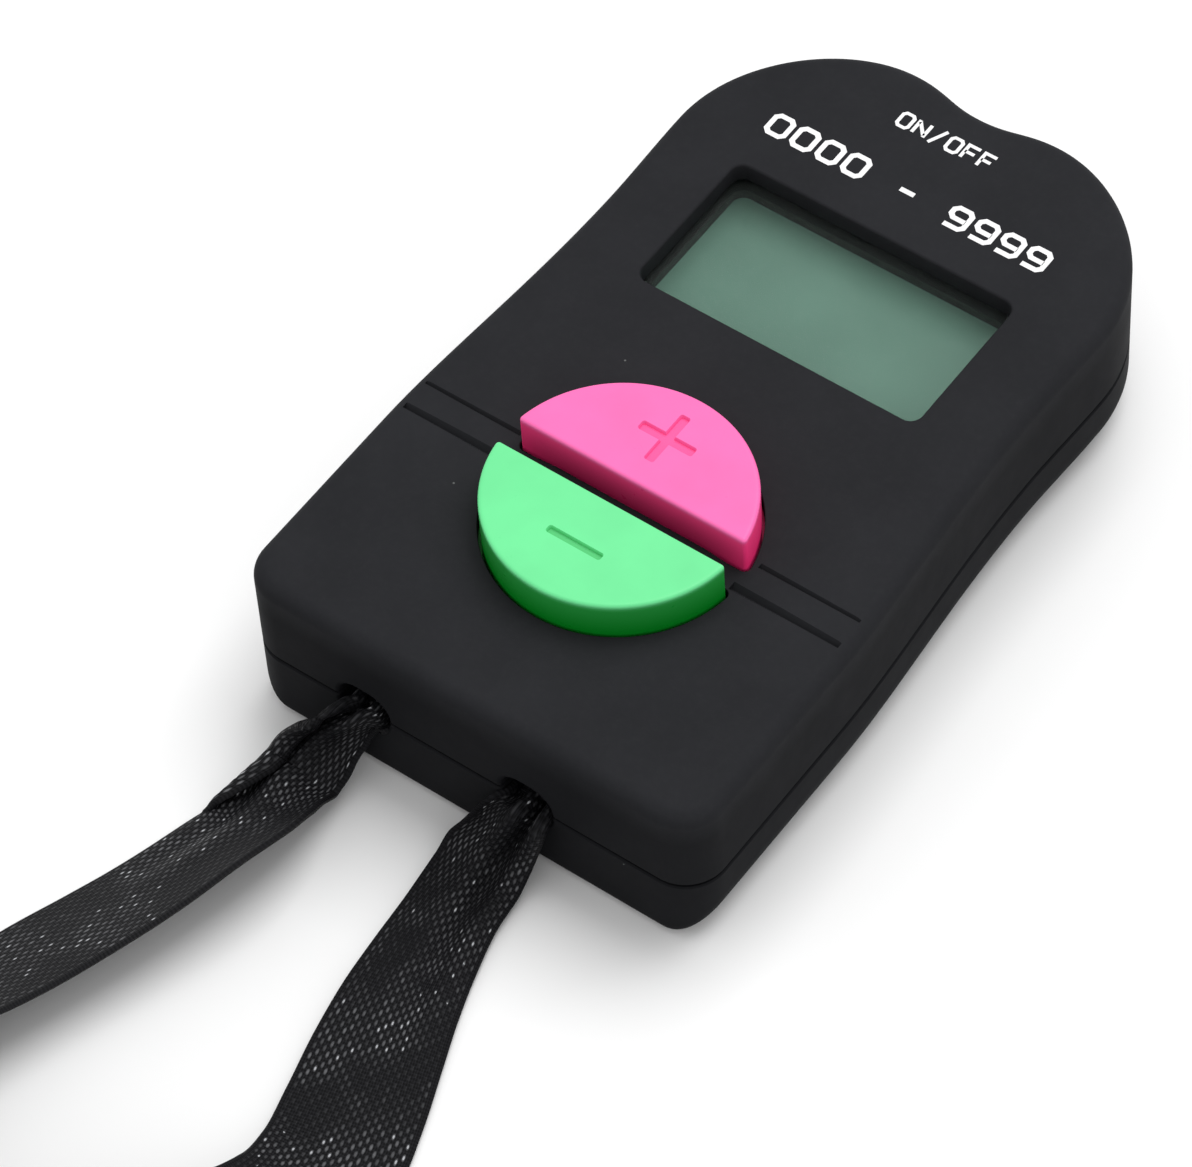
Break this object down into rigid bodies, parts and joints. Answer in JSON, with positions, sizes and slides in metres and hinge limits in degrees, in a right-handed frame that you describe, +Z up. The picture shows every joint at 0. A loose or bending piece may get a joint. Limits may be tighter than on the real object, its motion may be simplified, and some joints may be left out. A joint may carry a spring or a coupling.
{
  "type": "hand tally counter",
  "caption": "Pocket electronic tally counter: black shell, small display, half-round plus and minus keys, reset button in the head notch, woven neck ribbon.",
  "frame": {"origin": "under the middle of the counter, on the surface that it lies on", "axes": "+Y along the counter towards the notched head and away from the ribbon, +Z up out of the face with the display and keys, +X to the right of someone who reads the display"},
  "size_m": [0.044, 0.2268, 0.018],
  "materials": {
    "soft_touch_black": "soft matte",
    "pink_key": "satin",
    "green_key": "satin",
    "dark_button": "satin",
    "clear_window": "clear",
    "lcd_panel": "satin",
    "silicone": "matte",
    "reflector_foil": "satin",
    "white_moulding": "satin",
    "board_green": "satin",
    "black_epoxy": "satin",
    "ceramic": "matte",
    "carbon": "matte",
    "steel": "satin",
    "spring_steel": "satin",
    "woven_ribbon": "woven",
    "soft_tie": "matte"
  },
  "bodies": {
    "housing": {"board_screw_1": "steel", "board_screw_2": "steel", "board_screw_3": "steel", "board_screw_4": "steel", "button_cell": "steel", "capacitor_1": "ceramic", "capacitor_2": "ceramic", "cell_side_contact": "spring_steel", "cell_top_contact": "spring_steel", "circuit_board": "board_green", "counter_chip": "black_epoxy", "crystal": "steel", "display_window": "clear_window", "front_housing": "soft_touch_black", "housing_screw_1": "steel", "housing_screw_2": "steel", "housing_screw_3": "steel", "housing_screw_4": "steel", "lanyard_hank": "woven_ribbon", "lanyard_inside": "woven_ribbon", "lanyard_left": "woven_ribbon", "lanyard_right": "woven_ribbon", "lanyard_tie": "soft_tie", "lcd_connector": "silicone", "lcd_glass": "lcd_panel", "lcd_holder": "white_moulding", "lcd_reflector": "reflector_foil", "minus_dome": "silicone", "plus_dome": "silicone", "rear_housing": "soft_touch_black", "reset_switch": "black_epoxy", "resistor_1": "black_epoxy", "resistor_2": "black_epoxy"},
    "plus_button": {"plus_key": "pink_key", "plus_contact": "carbon"},
    "minus_button": {"minus_key": "green_key", "minus_contact": "carbon"},
    "reset": {"reset_button": "dark_button", "reset_plunger": "white_moulding"},
    "cover": {"battery_cover": "soft_touch_black", "cover_screw": "steel"}
  },
  "joints": [
    {"name": "plus_press", "type": "slide", "parent": "housing", "child": "plus_button", "axis": [0, 0, -1], "range_m": [0, 0.0008], "stiffness_N_per_m": 800, "deforming": ["plus_dome"]},
    {"name": "minus_press", "type": "slide", "parent": "housing", "child": "minus_button", "axis": [0, 0, -1], "range_m": [0, 0.0008], "stiffness_N_per_m": 800, "deforming": ["minus_dome"]},
    {"name": "reset_press", "type": "slide", "parent": "housing", "child": "reset", "axis": [0, -1, 0], "range_m": [0, 0.0005], "stiffness_N_per_m": 1500},
    {"name": "battery_cover_lift", "type": "slide", "parent": "housing", "child": "cover", "axis": [0, 0, -1], "range_m": [0, 0.01]}
  ]
}
